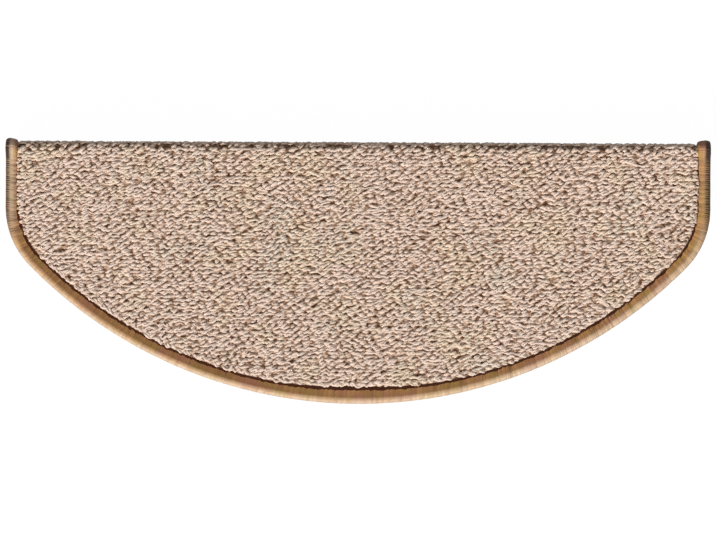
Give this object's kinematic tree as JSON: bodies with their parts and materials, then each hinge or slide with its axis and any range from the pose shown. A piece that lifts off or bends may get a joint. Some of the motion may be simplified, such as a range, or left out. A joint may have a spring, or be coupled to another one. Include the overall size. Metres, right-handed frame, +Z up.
{
  "type": "anti slip stair tread mat",
  "caption": "Half-moon loop pile carpet mat for a stair tread, folded over the nosing with a short front flap, a bound edge and a grippy rubber underside.",
  "frame": {"origin": "middle of the flat underside that lies on the tread, half way between the side edges and half way from the face of the flap to the crown of the curve", "axes": "+X along the step, +Y from the nosing towards the riser behind the tread, +Z up out of the pile"},
  "size_m": [0.6504, 0.2447, 0.0377],
  "materials": {
    "pile": "loop pile of soft beige and pinkish yarn, in uneven rows, with dark gaps between the loops",
    "backing": "matt dark grey rubber with a fine pebbled grip",
    "binding": "golden brown overlock yarn, sewn close round the edge"
  },
  "bodies": {
    "root": {"loop_pile_carpet": "pile", "anti_slip_backing": "backing", "edge_binding": "binding"}
  },
  "joints": []
}
